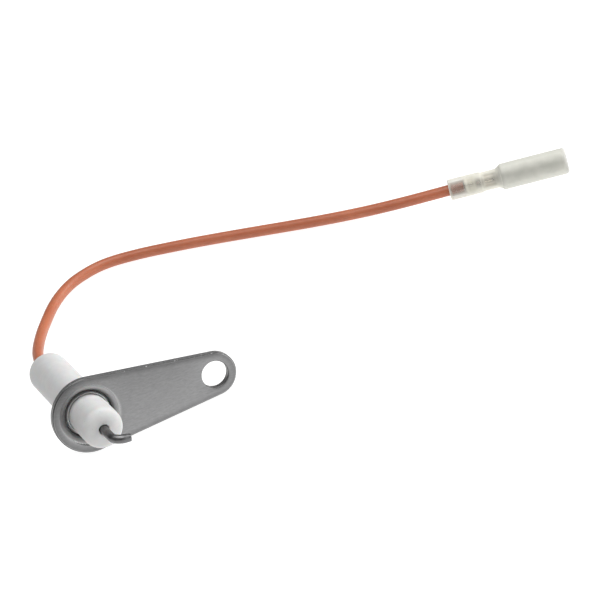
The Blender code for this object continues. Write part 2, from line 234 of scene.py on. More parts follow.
def make_lead():
    """The single lead: straight out of the ceramic, down onto the surface, and into the sleeve's mouth."""
    spacing, end_clearance = 0.0012, 0.00004
    mouth = ground + SLEEVE_MOUTH
    inside = [centre + nose * WIRE_START, centre - nose * REAR_LENGTH]
    free = [ground + Vector(place) for place in LEAD_ROUTE]
    end = mouth + heading * (WIRE_IN_SLEEVE - end_clearance)
    points = smooth_route(inside + free + [mouth, end], spacing)
    curve = bpy.data.curves.new("lead_insulation", "CURVE")
    curve.dimensions = "3D"
    curve.bevel_depth = WIRE_RADIUS
    curve.bevel_resolution = 10
    curve.use_fill_caps = True
    spline = curve.splines.new("POLY")
    spline.points.add(len(points) - 1)
    for spline_point, place in zip(spline.points, points):
        spline_point.co = (*place, 1.0)
    spline.use_smooth = True
    length = sum((second - first).length for first, second in zip(points, points[1:]))
    return link("lead_insulation", curve), length


lead, lead_length = make_lead()


# ---------------------------------------------------------------- materials

class Nodes:
    """Small helper that builds one material's node tree. Its place is in the given axes, or the world's."""

    def __init__(self, name, axes=None):
        self.material = bpy.data.materials.new(name)
        self.material.use_nodes = True
        self.tree = self.material.node_tree
        self.shader = self.tree.nodes["Principled BSDF"]
        self.place = self.add("ShaderNodeTexCoord").outputs["Object"]
        if axes is not None:
            turn = self.add("ShaderNodeMapping", vector_type="TEXTURE")
            turn.inputs["Location"].default_value = axes.translation
            turn.inputs["Rotation"].default_value = axes.to_euler()
            self.join(self.place, turn.inputs["Vector"])
            self.place = turn.outputs[0]

    def add(self, kind, **values):
        node = self.tree.nodes.new(kind)
        for key, value in values.items():
            setattr(node, key, value)
        return node

    def join(self, source, target):
        self.tree.links.new(source, target)

    def feed(self, socket, value):
        """Sets a socket, or links it if the value is another socket."""
        if isinstance(value, bpy.types.NodeSocket):
            self.join(value, socket)
        else:
            socket.default_value = value

    def stretched(self, scale):
        """The place multiplied by a scale for each axis."""
        node = self.add("ShaderNodeVectorMath", operation="MULTIPLY")
        self.join(self.place, node.inputs[0])
        node.inputs[1].default_value = scale
        return node.outputs[0]

    def noise(self, vector, scale, detail=4.0, rough=0.55):
        node = self.add("ShaderNodeTexNoise")
        self.join(vector, node.inputs["Vector"])
        node.inputs["Scale"].default_value = scale
        node.inputs["Detail"].default_value = detail
        node.inputs["Roughness"].default_value = rough
        return node.outputs[0]

    def math(self, operation, first, second=0.0, clamp=False):
        node = self.add("ShaderNodeMath", operation=operation, use_clamp=clamp)
        self.feed(node.inputs[0], first)
        self.feed(node.inputs[1], second)
        return node.outputs[0]

    def hypotenuse(self, first, second):
        squares = self.math("ADD", self.math("MULTIPLY", first, first), self.math("MULTIPLY", second, second))
        return self.math("SQRT", squares)

    def blend(self, share, first, second):
        """Mix of two plain values."""
        node = self.add("ShaderNodeMix", data_type="FLOAT")
        for socket, value in zip(node.inputs[:1] + node.inputs[2:4], (share, first, second)):
            self.feed(socket, value)
        return node.outputs[0]

    def span(self, value, low, high, new_low=0.0, new_high=1.0, smooth=False):
        """Maps a value's range onto another and clamps it."""
        node = self.add("ShaderNodeMapRange")
        node.interpolation_type = "SMOOTHSTEP" if smooth else "LINEAR"
        self.join(value, node.inputs["Value"])
        limits = {"From Min": low, "From Max": high, "To Min": new_low, "To Max": new_high}
        for key, number in limits.items():
            node.inputs[key].default_value = number
        return node.outputs[0]

    def mix(self, share, first, second):
        """Mix of two colours."""
        node = self.add("ShaderNodeMix", data_type="RGBA")
        self.feed(node.inputs[0], share)
        for socket, colour in ((node.inputs[6], first), (node.inputs[7], second)):
            self.feed(socket, (*colour, 1.0) if isinstance(colour, tuple) else colour)
        return node.outputs[2]

    def tint(self, tone, where, amount, colour):
        """The tone mixed towards a colour by an amount, where a mask says so."""
        return self.mix(self.math("MULTIPLY", where, amount), tone, colour)

    def bump(self, height, strength, distance, normal=None):
        node = self.add("ShaderNodeBump")
        node.inputs["Strength"].default_value = strength
        node.inputs["Distance"].default_value = distance
        self.join(height, node.inputs["Height"])
        if normal is not None:
            self.join(normal, node.inputs["Normal"])
        return node.outputs[0]

    def split(self):
        """The place's x, y and z."""
        node = self.add("ShaderNodeSeparateXYZ")
        self.join(self.place, node.inputs[0])
        return node.outputs

    def set(self, **values):
        """Sets inputs of the Principled shader by name, with _ for a space."""
        for key, value in values.items():
            if isinstance(value, tuple) and len(value) == 3 and "Color" in key:
                value = (*value, 1.0)
            self.feed(self.shader.inputs[key.replace("_", " ")], value)


def outline_distance(n):
    """Distance inwards from the bracket's teardrop outline, as a node value."""
    x, y = n.split()[:2]
    y = n.math("ABSOLUTE", y)
    slope = (WIDE_END_RADIUS - NARROW_END_RADIUS) / SCREW_HOLE_DISTANCE
    flat = math.sqrt(1 - slope * slope)
    along = n.math("SUBTRACT", n.math("MULTIPLY", x, flat), n.math("MULTIPLY", y, slope))
    side = n.math("ADD", n.math("MULTIPLY", y, flat), n.math("MULTIPLY", x, slope))
    side = n.math("SUBTRACT", WIDE_END_RADIUS, side)
    wide = n.math("SUBTRACT", WIDE_END_RADIUS, n.hypotenuse(x, y))
    beyond_hole = n.math("SUBTRACT", x, SCREW_HOLE_DISTANCE)
    narrow = n.math("SUBTRACT", NARROW_END_RADIUS, n.hypotenuse(beyond_hole, y))
    at_wide = n.math("LESS_THAN", along, 0.0)
    at_narrow = n.math("GREATER_THAN", along, flat * SCREW_HOLE_DISTANCE)
    inset = n.blend(at_wide, side, wide)
    return n.blend(at_narrow, inset, narrow)


def bracket_face_steel():
    """Rolled sheet: fine grain along the bracket and faint scratches, a band of painted shade darkening the
    face along its outline, and a brighter rolled edge that is partly burnish and partly a painted highlight.
    """
    n = Nodes("bracket_face_steel", bracket_axes)
    grain = n.noise(n.stretched((800, 2500, 2500)), 1.0, 6, 0.75)
    streak = n.noise(n.stretched((420, 2900, 2900)), 1.0, 4, 0.6)
    cloud = n.noise(n.place, 210, 3, 0.5)
    scratch_noise = n.noise(n.stretched((90, 5200, 900)), 1.0, 2, 0.4)
    scratch = n.span(scratch_noise, 0.68, 0.73)
    rolled_from, rolled_to, edge_shade_width = 0.00018, 0.00040, 0.0014
    inset = outline_distance(n)
    wander = n.math("MULTIPLY", n.math("SUBTRACT", cloud, 0.5), 0.001)
    # Painted shade: a dark band along the outline, a little ragged, fading inwards.
    edge_shade = n.span(n.math("ADD", inset, wander), 0.0, edge_shade_width, 1.0, 0.0)
    tone = n.mix(n.span(grain, 0.32, 0.68), (0.232, 0.232, 0.234), (0.330, 0.330, 0.332))
    tone = n.tint(tone, n.span(streak, 0.42, 0.7), 0.30, (0.36, 0.36, 0.36))
    tone = n.tint(tone, n.span(cloud, 0.4, 0.7), 0.25, (0.25, 0.25, 0.252))
    tone = n.tint(tone, scratch, 0.25, (0.46, 0.46, 0.46))
    flat = n.span(inset, rolled_from, rolled_to)
    edge_shade = n.math("MULTIPLY", edge_shade, flat)
    tone = n.tint(tone, edge_shade, 0.60, (0.11, 0.11, 0.11))
    # The rolled edge's brighter tone is partly a burnished die roll and partly a painted highlight.
    tone = n.mix(n.math("SUBTRACT", 1.0, flat), tone, (0.38, 0.38, 0.38))
    rough = n.math("ADD", n.span(grain, 0.3, 0.7, 0.40, 0.52), n.math("MULTIPLY", scratch, -0.1))
    fine = n.bump(grain, 0.30, 0.00002)
    wavy = n.bump(cloud, 0.20, 0.00004, fine)
    n.set(Base_Color=tone, Metallic=1.0, Roughness=rough, Normal=wavy)
    return n.material


def bracket_edge_steel():
    """Punched edge: a sheared band, a torn band behind it, a dark line of painted shade where it meets the
    face, and bright specks that are painted highlights.
    """
    n = Nodes("bracket_edge_steel", bracket_axes)
    depth = n.math("MULTIPLY", n.split()[2], -1 / PLATE_THICKNESS)
    wander = n.math("MULTIPLY", n.math("SUBTRACT", n.noise(n.place, 1100, 3), 0.5), 0.25)
    ragged = n.math("ADD", depth, wander)
    torn = n.span(ragged, 0.50, 0.62, smooth=True)
    # Painted shade: a dark line along the wall where it meets the face.
    line = n.span(ragged, 0.10, 0.26, 1.0, 0.0, smooth=True)
    grit = n.noise(n.stretched((2600, 2600, 1100)), 1.0, 5, 0.7)
    streak = n.noise(n.stretched((3000, 3000, 60)), 1.0, 3)
    # Painted highlights: small bright specks, like burrs catching the light.
    glint_specks = n.span(n.noise(n.place, 1400, 2), 0.66, 0.70)
    tone = n.mix(n.span(streak, 0.35, 0.65), (0.17, 0.17, 0.17), (0.24, 0.24, 0.24))
    tone = n.mix(torn, tone, n.mix(n.span(grit, 0.3, 0.7), (0.13, 0.13, 0.13), (0.22, 0.22, 0.22)))
    tone = n.tint(tone, line, 0.6, (0.06, 0.06, 0.06))
    tone = n.tint(tone, glint_specks, 0.6, (0.55, 0.55, 0.55))
    height = n.math("ADD", n.math("MULTIPLY", grit, torn), n.math("MULTIPLY", streak, 0.5))
    n.set(Base_Color=tone, Metallic=0.4, Roughness=n.blend(torn, 0.32, 0.5),
          Normal=n.bump(height, 0.35, 0.00003))
    return n.material


def collar_steel():
    """The drawn collar: fine tool rings, a brighter band on its rounding that is partly burnish and partly a
    painted highlight, and painted shade down in the gap.
    """
    n = Nodes("collar_steel", bracket_axes)
    x, y, z = n.split()
    radius = n.hypotenuse(x, y)
    rings = n.add("ShaderNodeCombineXYZ")
    n.join(n.math("MULTIPLY", radius, 9000), rings.inputs[0])
    n.join(n.math("MULTIPLY", z, 9000), rings.inputs[1])
    ring = n.noise(rings.outputs[0], 1.0, 2)
    grain = n.noise(n.place, 3600, 5, 0.65)
    cloud = n.noise(n.place, 300, 3)
    tone = n.mix(n.span(grain, 0.32, 0.68), (0.26, 0.26, 0.262), (0.325, 0.325, 0.327))
    tone = n.tint(tone, n.span(cloud, 0.4, 0.7), 0.2, (0.24, 0.24, 0.24))
    # A brighter band on the rounding: partly burnish from the tool, partly a painted highlight.
    above_bore = n.span(radius, COLLAR_BORE_RADIUS + 0.0002, COLLAR_BORE_RADIUS + 0.0008)
    below_face = n.span(radius, COLLAR_BORE_RADIUS + 0.0019, COLLAR_BORE_RADIUS + 0.0012)
    burnish_and_highlight = n.math("MULTIPLY", above_bore, below_face)
    tone = n.tint(tone, burnish_and_highlight, 0.85, (0.47, 0.47, 0.47))
    # Painted shade: the bore wall turns near black down in the gap before the lip.
    depth = n.span(z, -0.0018, -0.0034, smooth=True)
    inside = n.span(radius, COLLAR_BORE_RADIUS + 0.0002, COLLAR_BORE_RADIUS + 0.0006, 1.0, 0.0)
    before_lip = n.span(z, -COLLAR_DEPTH + 0.0001, -COLLAR_DEPTH + 0.0003)
    gap = n.math("MULTIPLY", n.math("MULTIPLY", depth, inside), before_lip)
    tone = n.mix(gap, tone, (0.05, 0.05, 0.05))
    brim = n.span(radius, COLLAR_BORE_RADIUS + 0.0016, COLLAR_BORE_RADIUS + COLLAR_FRONT_ROUNDING)
    height = n.math("ADD", n.math("MULTIPLY", ring, 0.5), n.math("MULTIPLY", grain, 0.5))
    n.set(Base_Color=tone, Metallic=1.0, Roughness=n.blend(brim, 0.22, 0.42),
          Normal=n.bump(height, 0.16, 0.00002))
    return n.material


def white_ceramic():
    """Unglazed steatite: matt white with faint mottling, fine grain and a few grey rub marks."""
    n = Nodes("white_ceramic", probe_axes)
    mottle = n.noise(n.place, 420, 4, 0.6)
    grain = n.noise(n.place, 5200, 3, 0.6)
    rings = n.noise(n.stretched((90, 90, 2600)), 1.0, 3)
    speck_noise = n.noise(n.place, 2300, 1, 0.3)
    speck = n.span(speck_noise, 0.735, 0.76)
    rub_noise = n.noise(n.stretched((260, 260, 900)), 1.0, 4)
    rub = n.span(rub_noise, 0.64, 0.74)
    tone = n.mix(n.span(mottle, 0.3, 0.7), (0.64, 0.64, 0.638), (0.70, 0.70, 0.695))
    tone = n.tint(tone, rub, 0.12, (0.36, 0.36, 0.37))
    tone = n.tint(tone, speck, 0.2, (0.33, 0.31, 0.28))
    height = n.math("ADD", n.math("MULTIPLY", grain, 0.6), n.math("MULTIPLY", rings, 0.5))
    n.set(Base_Color=tone, Roughness=n.span(mottle, 0.3, 0.7, 0.52, 0.66), Specular_IOR_Level=0.4,
          Subsurface_Weight=0.12, Subsurface_Scale=0.0006, Normal=n.bump(height, 0.3, 0.00003))
    return n.material


def rod_metal():
    """Heat-resisting alloy wire: dark oxide with lengthwise draw lines and a faint warm tint."""
    n = Nodes("rod_metal", probe_axes)
    lines = n.noise(n.stretched((5200, 5200, 160)), 1.0, 4, 0.6)
    patch = n.noise(n.place, 620, 4, 0.6)
    tint = n.noise(n.place, 240, 2)
    tone = n.mix(n.span(patch, 0.35, 0.7), (0.13, 0.13, 0.134), (0.23, 0.23, 0.234))
    tone = n.tint(tone, n.span(tint, 0.45, 0.7), 0.3, (0.17, 0.15, 0.13))
    tone = n.tint(tone, n.span(lines, 0.55, 0.7), 0.3, (0.26, 0.26, 0.26))
    n.set(Base_Color=tone, Metallic=0.9, Roughness=n.span(patch, 0.3, 0.7, 0.34, 0.5),
          Normal=n.bump(lines, 0.35, 0.00003))
    return n.material


def wire_insulation():
    """Terracotta silicone rubber: satin, with faint extrusion streaks and dust."""
    n = Nodes("wire_insulation")
    cloud = n.noise(n.place, 130, 4, 0.55)
    fine = n.noise(n.place, 1500, 4, 0.6)
    dust_noise = n.noise(n.place, 3800, 2, 0.5)
    dust = n.span(dust_noise, 0.68, 0.75)
    tone = n.mix(n.span(cloud, 0.3, 0.7), (0.44, 0.130, 0.062), (0.52, 0.165, 0.082))
    tone = n.tint(tone, n.span(fine, 0.4, 0.7), 0.25, (0.42, 0.120, 0.058))
    tone = n.tint(tone, dust, 0.25, (0.72, 0.36, 0.24))
    n.set(Base_Color=tone, Roughness=n.span(fine, 0.3, 0.7, 0.40, 0.52), Specular_IOR_Level=0.45,
          Subsurface_Weight=0.15, Subsurface_Scale=0.0005, Sheen_Weight=0.06,
          Normal=n.bump(fine, 0.18, 0.00003))
    return n.material


def frosted_nylon():
    """Natural nylon: clear enough over the crimps to see them, milky over the thicker body.

    It is hazier where it is seen edge-on and at its rims. A slight glow stands for light scattered inside it.
    """
    n = Nodes("frosted_nylon", connector_axes)
    x, y, height = n.split()
    cloud = n.noise(n.place, 330, 3, 0.5)
    grain = n.noise(n.place, 3600, 3, 0.6)
    facing = n.add("ShaderNodeLayerWeight")
    facing.inputs["Blend"].default_value = 0.5

    thick = n.span(height, SLEEVE_NECK_END - 0.0002, SLEEVE_BODY_START + 0.0012, 0.27, 0.66, smooth=True)
    over_wire = n.span(height, WIRE_IN_SLEEVE, WIRE_IN_SLEEVE + 0.0004, 0.10, 0.0)
    edge_on = n.math("MULTIPLY", n.math("POWER", facing.outputs["Facing"], 0.75), 0.85)
    mouth_rim = n.span(height, 0.0007, 0.0002)
    end_rim = n.span(height, SLEEVE_LENGTH - 0.0012, SLEEVE_LENGTH - 0.0005)
    rims = n.math("MAXIMUM", mouth_rim, end_rim)
    haze = n.math("ADD", n.math("SUBTRACT", thick, over_wire), edge_on)
    haze = n.math("ADD", haze, n.span(cloud, 0.3, 0.7, -0.04, 0.04))
    haze = n.math("ADD", haze, n.math("MULTIPLY", rims, 0.30), clamp=True)

    bore_wall = SLEEVE_CRIMP_BORE_RADIUS + 0.0001
    bore = n.span(n.hypotenuse(x, y), bore_wall, bore_wall + 0.0001, 1.0, 0.0)
    wire_end_shade = n.span(height, WIRE_IN_SLEEVE + 0.0005, WIRE_IN_SLEEVE + 0.0004)
    tone = n.mix(n.span(height, SLEEVE_NECK_END, SLEEVE_BODY_START), (0.84, 0.82, 0.73), (0.62, 0.62, 0.56))
    tone = n.mix(n.span(height, SLEEVE_LENGTH - 0.0011, SLEEVE_LENGTH - 0.0003), tone, (0.52, 0.52, 0.49))
    tone = n.mix(n.span(cloud, 0.35, 0.75, 0.0, 0.4), tone, (0.69, 0.68, 0.62))
    # Painted shade: the bore's inner wall is darkened from the mouth to just past the end of the wire.
    tone = n.mix(n.math("MULTIPLY", bore, wire_end_shade), tone, (0.16, 0.10, 0.08))
    n.set(Base_Color=tone, Alpha=haze, Roughness=n.span(grain, 0.3, 0.7, 0.40, 0.50),
          Specular_IOR_Level=0.25, Emission_Color=(0.90, 0.89, 0.80), Emission_Strength=0.05,
          Normal=n.bump(grain, 0.2, 0.00002))
    return n.material


def terminal_tin():
    """Tin-plated brass strip: pale at the insulation grip, brownish at the wire crimp, grey at the socket.

    The dark band at its start, the open throat between the two crimps and the neck before the socket are
    painted shade.
    """
    n = Nodes("terminal_tin", connector_axes)
    height = n.split()[2]
    lines = n.noise(n.stretched((3000, 3000, 200)), 1.0, 4)
    worn = n.noise(n.place, 900, 4, 0.6)
    tone = n.mix(n.span(lines, 0.35, 0.7), (0.36, 0.36, 0.36), (0.48, 0.48, 0.47))
    # Tones by height, from the top down, each reaching below its limit. The dark ones at the neck, in the
    # throat and at the start are painted shade.
    tone_and_shade_bands = (
        (0.0130, (0.14, 0.13, 0.12)),
        (0.0108, (0.68, 0.60, 0.50)),
        (THROAT_END, (0.07, 0.065, 0.06)),
        (GRIP_END + 0.0001, (0.95, 0.93, 0.82)),
        (0.0042, (0.10, 0.08, 0.07)),
    )
    for limit, colour in tone_and_shade_bands:
        tone = n.mix(n.span(height, limit, limit - 0.0004), tone, colour)
    tone = n.tint(tone, n.span(worn, 0.52, 0.7), 0.3, (0.50, 0.42, 0.27))
    n.set(Base_Color=tone, Metallic=n.span(height, 0.0067, 0.0071, 0.0, 1.0),
          Roughness=n.span(worn, 0.3, 0.7, 0.40, 0.55), Normal=n.bump(lines, 0.3, 0.00002))
    return n.material


def copper_strands():
    """Tinned copper strands, dull, with a copper blush where the tin has worn."""
    n = Nodes("copper_strands")
    worn = n.noise(n.place, 2600, 4, 0.6)
    tone = n.mix(n.span(worn, 0.4, 0.62), (0.34, 0.31, 0.28), (0.42, 0.26, 0.18))
    n.set(Base_Color=tone, Metallic=1.0, Roughness=n.span(worn, 0.3, 0.7, 0.25, 0.4),
          Normal=n.bump(worn, 0.2, 0.00001))
    return n.material


def ferrule_metal():
    """Plain drawn steel tube with circular tool marks."""
    n = Nodes("ferrule_metal", probe_axes)
    rings = n.noise(n.stretched((300, 300, 5200)), 1.0, 3)
    stain = n.noise(n.place, 700, 3)
    tone = n.mix(n.span(stain, 0.4, 0.7), (0.52, 0.52, 0.53), (0.34, 0.33, 0.32))
    n.set(Base_Color=tone, Metallic=1.0, Roughness=n.span(rings, 0.3, 0.7, 0.3, 0.45),
          Normal=n.bump(rings, 0.4, 0.00002))
    return n.material


def seal_cement():
    """Potting cement: off-white, gritty, with small pores."""
    n = Nodes("seal_cement", probe_axes)
    grit = n.noise(n.place, 2600, 5, 0.7)
    pore_noise = n.noise(n.place, 1500, 2, 0.5)
    pore = n.span(pore_noise, 0.64, 0.70)
    tone = n.mix(n.span(grit, 0.3, 0.7), (0.50, 0.48, 0.43), (0.66, 0.64, 0.58))
    # The pores are real hollows, sunk by the bump; their darker tone is painted shade.
    tone = n.tint(tone, pore, 0.7, (0.25, 0.23, 0.20))
    height = n.math("SUBTRACT", grit, pore)
    n.set(Base_Color=tone, Roughness=0.9, Normal=n.bump(height, 0.6, 0.00008))
    return n.material


def floor_paper():
    """Pale matt studio paper."""
    n = Nodes("floor_paper")
    fibre = n.noise(n.place, 900, 3)
    tone = n.mix(n.span(fibre, 0.3, 0.7), (0.29, 0.29, 0.29), (0.31, 0.31, 0.31))
    n.set(Base_Color=tone, Roughness=0.9, Specular_IOR_Level=0.1, Emission_Color=(1.0, 1.0, 1.0),
          Emission_Strength=0.94)
    return n.material


# ---------------------------------------------------------------- mesh building

def arc(middle, radius, start, end, steps=8):
    """Points of an arc in a profile's plane, from one angle to the other in degrees."""
    points = []
    for i in range(steps + 1):
        angle = math.radians(start + (end - start) * i / steps)
        points.append((middle[0] + radius * math.cos(angle), middle[1] + radius * math.sin(angle)))
    return points


def refined(profile, spacing):
    """The same profile with its long straight stretches cut into pieces of about the spacing."""
    finer = []
    for first, second in zip(profile, profile[1:] + profile[:1]):
        pieces = max(1, round(math.dist(first, second) / spacing))
        for i in range(pieces):
            share = i / pieces
            finer.append(tuple(a + (b - a) * share for a, b in zip(first, second)))
    return finer


def finish_mesh(name, bm, matrix, materials, sharp=38):
    """Puts the mesh in its place and makes its object. Edges sharper than the angle in degrees stay crisp."""
    bmesh.ops.transform(bm, matrix=matrix, verts=bm.verts)
    bmesh.ops.recalc_face_normals(bm, faces=bm.faces)
    mesh = bpy.data.meshes.new(name)
    bm.to_mesh(mesh)
    bm.free()
    mesh.shade_smooth()
    mesh.set_sharp_from_angle(angle=math.radians(sharp))
    for material in materials:
        mesh.materials.append(material)
    return link(name, mesh)


def turned(name, profile, matrix, material, steps, shift):
    """Closed ring of revolution about local Z, from a closed (radius, height) profile.

    shift(radius, height, angle) returns the radius there, which makes the piece less than perfectly round.
    """
    bm = bmesh.new()
    rings = []
    for radius, height in profile:
        ring = []
        for step in range(steps):
            angle = math.tau * step / steps
            r = shift(radius, height, angle)
            ring.append(bm.verts.new((r * math.cos(angle), r * math.sin(angle), height)))
        rings.append(ring)
    for ring, following in zip(rings, rings[1:] + rings[:1]):
        for step in range(steps):
            after = (step + 1) % steps
            bm.faces.new((ring[step], ring[after], following[after], following[step]))
    return finish_mesh(name, bm, matrix, [material])


def swept(name, points, radii, matrix, material, sides):
    """Round bar along points, with its own radius at each point and closed ends."""
    bm = bmesh.new()
    directions = []
    for i in range(len(points)):
        before = points[max(i - 1, 0)]
        after = points[min(i + 1, len(points) - 1)]
        directions.append((after - before).normalized())
    side = directions[0].orthogonal().normalized()
    rings = []
    for place, radius, direction in zip(points, radii, directions):
        side = (side - direction * side.dot(direction)).normalized()
        other = direction.cross(side)
        ring = []
        for step in range(sides):
            angle = math.tau * step / sides
            ring.append(bm.verts.new(place + (side * math.cos(angle) + other * math.sin(angle)) * radius))
        rings.append(ring)
    for ring, following in zip(rings, rings[1:]):
        for step in range(sides):
            after = (step + 1) % sides
            bm.faces.new((ring[step], ring[after], following[after], following[step]))
    bm.faces.new(rings[0])
    bm.faces.new(rings[-1])
    return finish_mesh(name, bm, matrix, [material])


# ---------------------------------------------------------------- bracket

def teardrop(inset, count_wide=150, count_narrow=90, count_side=30):
    """The plate's outline moved inwards, as points in its plane."""
    lean = math.degrees(math.acos((WIDE_END_RADIUS - NARROW_END_RADIUS) / SCREW_HOLE_DISTANCE))
    wide = arc((0, 0), WIDE_END_RADIUS - inset, lean, 360 - lean, count_wide)
    narrow = arc((SCREW_HOLE_DISTANCE, 0), NARROW_END_RADIUS - inset, -lean, lean, count_narrow)
    points = []
    for run, other in ((wide, narrow), (narrow, wide)):
        points += run
        start, end = run[-1], other[0]
        for i in range(1, count_side):
            share = i / count_side
            points.append((start[0] + (end[0] - start[0]) * share, start[1] + (end[1] - start[1]) * share))
    return points


def circle(radius, x=0.0, steps=160):
    angles = [math.tau * i / steps for i in range(steps)]
    return [(x + radius * math.cos(angle), radius * math.sin(angle)) for angle in angles]


def make_bracket():
    """One stamping: a flat teardrop with rolled-over edges, a punched hole and a drawn, swaged collar."""
    face, edge, collar = 0, 1, 2
    bm = bmesh.new()

    def loop(points, height):
        return [bm.verts.new((x, y, height)) for x, y in points]

    def strip(first, second, slot):
        count = len(first)
        for i in range(count):
            j = (i + 1) % count
            bm.faces.new((first[i], first[j], second[j], second[i])).material_index = slot

    def chain(outline, section):
        """Loops along a (inset, height) section, which starts on the face. Returns the first and the last."""
        loops = [loop(outline(inset), height) for inset, height in section]
        slots = [face] + [edge] * (len(section) - 2)
        for first, second, slot in zip(loops, loops[1:], slots):
            strip(first, second, slot)
        return loops[0], loops[-1]

    def fill(loops):
        """Flat face between loops. Their edges stay crisp, so its long triangles are shaded flat."""
        edges = []
        for around in loops:
            for i, vertex in enumerate(around):
                edges.append(bm.edges.get((vertex, around[(i + 1) % len(around)])))
                edges[-1].smooth = False
        made = bmesh.ops.triangle_fill(bm, use_beauty=True, use_dissolve=False, edges=edges,
                                       normal=Vector((0, 0, 1)))
        for item in made["geom"]:
            if isinstance(item, bmesh.types.BMFace):
                item.material_index = face

    roll, burr, hole_burr = 0.00027, 0.00006, 0.00006
    back = -PLATE_THICKNESS
    section = [(roll * 1.6, 0.0), (roll * 0.8, -roll * 0.18), (roll * 0.25, -roll * 0.55), (0.0, -roll * 1.2)]
    section += [(0.0, back * 0.4), (0.00001, back * 0.6), (0.0, back * 0.85)]
    section += [(burr * 0.3, back + burr * 0.3), (burr, back)]
    outer_front, outer_back = chain(teardrop, section)

    hole = [(-roll * 1.4, 0.0), (-roll * 0.6, -roll * 0.2), (-roll * 0.15, -roll * 0.6), (0.0, -roll * 1.3)]
    hole += [(0.0, back * 0.5), (-0.00002, back * 0.75), (-0.00005, back)]

    def hole_outline(inset):
        return circle(SCREW_HOLE_RADIUS - hole_burr - inset, SCREW_HOLE_DISTANCE, 96)

    hole_front, hole_back = chain(hole_outline, hole)

    front_middle = COLLAR_BORE_RADIUS + COLLAR_FRONT_ROUNDING
    lip_top = -COLLAR_DEPTH + COLLAR_LIP_THICKNESS
    profile = arc((front_middle, -COLLAR_FRONT_ROUNDING), COLLAR_FRONT_ROUNDING, 90, 180, 22)
    profile += [(COLLAR_BORE_RADIUS, -SEAT_DEPTH), (SEAT_RADIUS, -SEAT_DEPTH), (SEAT_RADIUS, lip_top)]
    profile += [(COLLAR_LIP_RADIUS + 0.0001, lip_top), (COLLAR_LIP_RADIUS, lip_top - 0.0001)]
    profile += [(COLLAR_LIP_RADIUS, -COLLAR_DEPTH + 0.0001), (COLLAR_LIP_RADIUS + 0.0001, -COLLAR_DEPTH)]
    swage = (COLLAR_OUTER_RADIUS - COLLAR_SWAGE_ROUNDING, -COLLAR_DEPTH + COLLAR_SWAGE_ROUNDING)
    profile += arc(swage, COLLAR_SWAGE_ROUNDING, -90, 0, 12)
    back_fillet = (COLLAR_OUTER_RADIUS + COLLAR_BACK_ROUNDING, back - COLLAR_BACK_ROUNDING)
    profile += arc(back_fillet, COLLAR_BACK_ROUNDING, 180, 90, 10)
    loops = [loop(circle(radius), height) for radius, height in profile]
    for first, second in zip(loops, loops[1:]):
        strip(first, second, collar)

    fill((outer_front, hole_front, loops[0]))
    fill((outer_back, hole_back, loops[-1]))
    piece = finish_mesh("bracket_stamping", bm, bracket_axes,
                        [bracket_face_steel(), bracket_edge_steel(), collar_steel()], 45)
    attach(piece, "bracket")
    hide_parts("mounting_bracket")


# ---------------------------------------------------------------- ceramic, rod and the joint inside

def make_ceramic():
    """Pressed and fired rod holder. Its surface is a little uneven, and its ends are softly rounded.

    A shallow groove parts the nose from the thin ring that centres the collar.
    """
    rear_rounding, soft = 0.0007, 0.00010
    dome_width, dome_height, dome_top, dome_power = 0.0033, 0.0018, NOSE_HEIGHT + 0.0004, 0.88
    groove_inner, groove_outer, groove_bottom = 0.00462, 0.00482, PILOT_HEIGHT - 0.0007
    ring_radius = 0.00506
    flange_top = -SEAT_DEPTH - GAP
    flange_bottom = -COLLAR_DEPTH + COLLAR_LIP_THICKNESS + GAP
    counterbore_top = -REAR_LENGTH + COUNTERBORE_DEPTH
    bore = ROD_RADIUS + 0.00012
    profile = [(bore, dome_top - 0.0003), (bore + 0.00006, dome_top - 0.0001), (bore + 0.0002, dome_top)]
    for i in range(19):
        angle = math.radians(90 - 5 * i)
        profile.append((NOSE_RADIUS - dome_width * (1 - math.cos(angle) ** dome_power),
                        dome_top - dome_height * (1 - math.sin(angle) ** dome_power)))
    profile += [(NOSE_RADIUS, 0.0005), (groove_inner, PILOT_HEIGHT - 0.0002), (groove_inner, groove_bottom)]
    profile += [(groove_outer, groove_bottom), (groove_outer, PILOT_HEIGHT - soft)]
    profile += [(groove_outer + soft * 0.7, PILOT_HEIGHT), (ring_radius - soft * 0.7, PILOT_HEIGHT)]
    profile += [(ring_radius, PILOT_HEIGHT - soft), (ring_radius, flange_top)]
    profile += [(FLANGE_RADIUS, flange_top), (FLANGE_RADIUS, flange_bottom), (REAR_RADIUS, flange_bottom)]
    profile += arc((REAR_RADIUS - rear_rounding, -REAR_LENGTH + rear_rounding), rear_rounding, 0, -90, 8)
    profile += arc((COUNTERBORE_RADIUS + soft, -REAR_LENGTH + soft), soft, -90, -180, 3)
    profile += [(COUNTERBORE_RADIUS, counterbore_top), (bore, counterbore_top)]
    profile = refined(profile, 0.0011)

    def uneven(radius, height, angle):
        """Leaves the bores round, and lets the outside wander by a few hundredths of a millimetre."""
        if radius < COUNTERBORE_RADIUS + 0.0004:
            return radius
        place = Vector((math.cos(angle) * 1.3, math.sin(angle) * 1.3, height * 130))
        return radius + 0.000018 * noise.noise(place)

    piece = turned("ceramic_holder", profile, probe_axes, white_ceramic(), 160, uneven)
    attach(piece, "probe")
    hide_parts("ceramic_insulator")


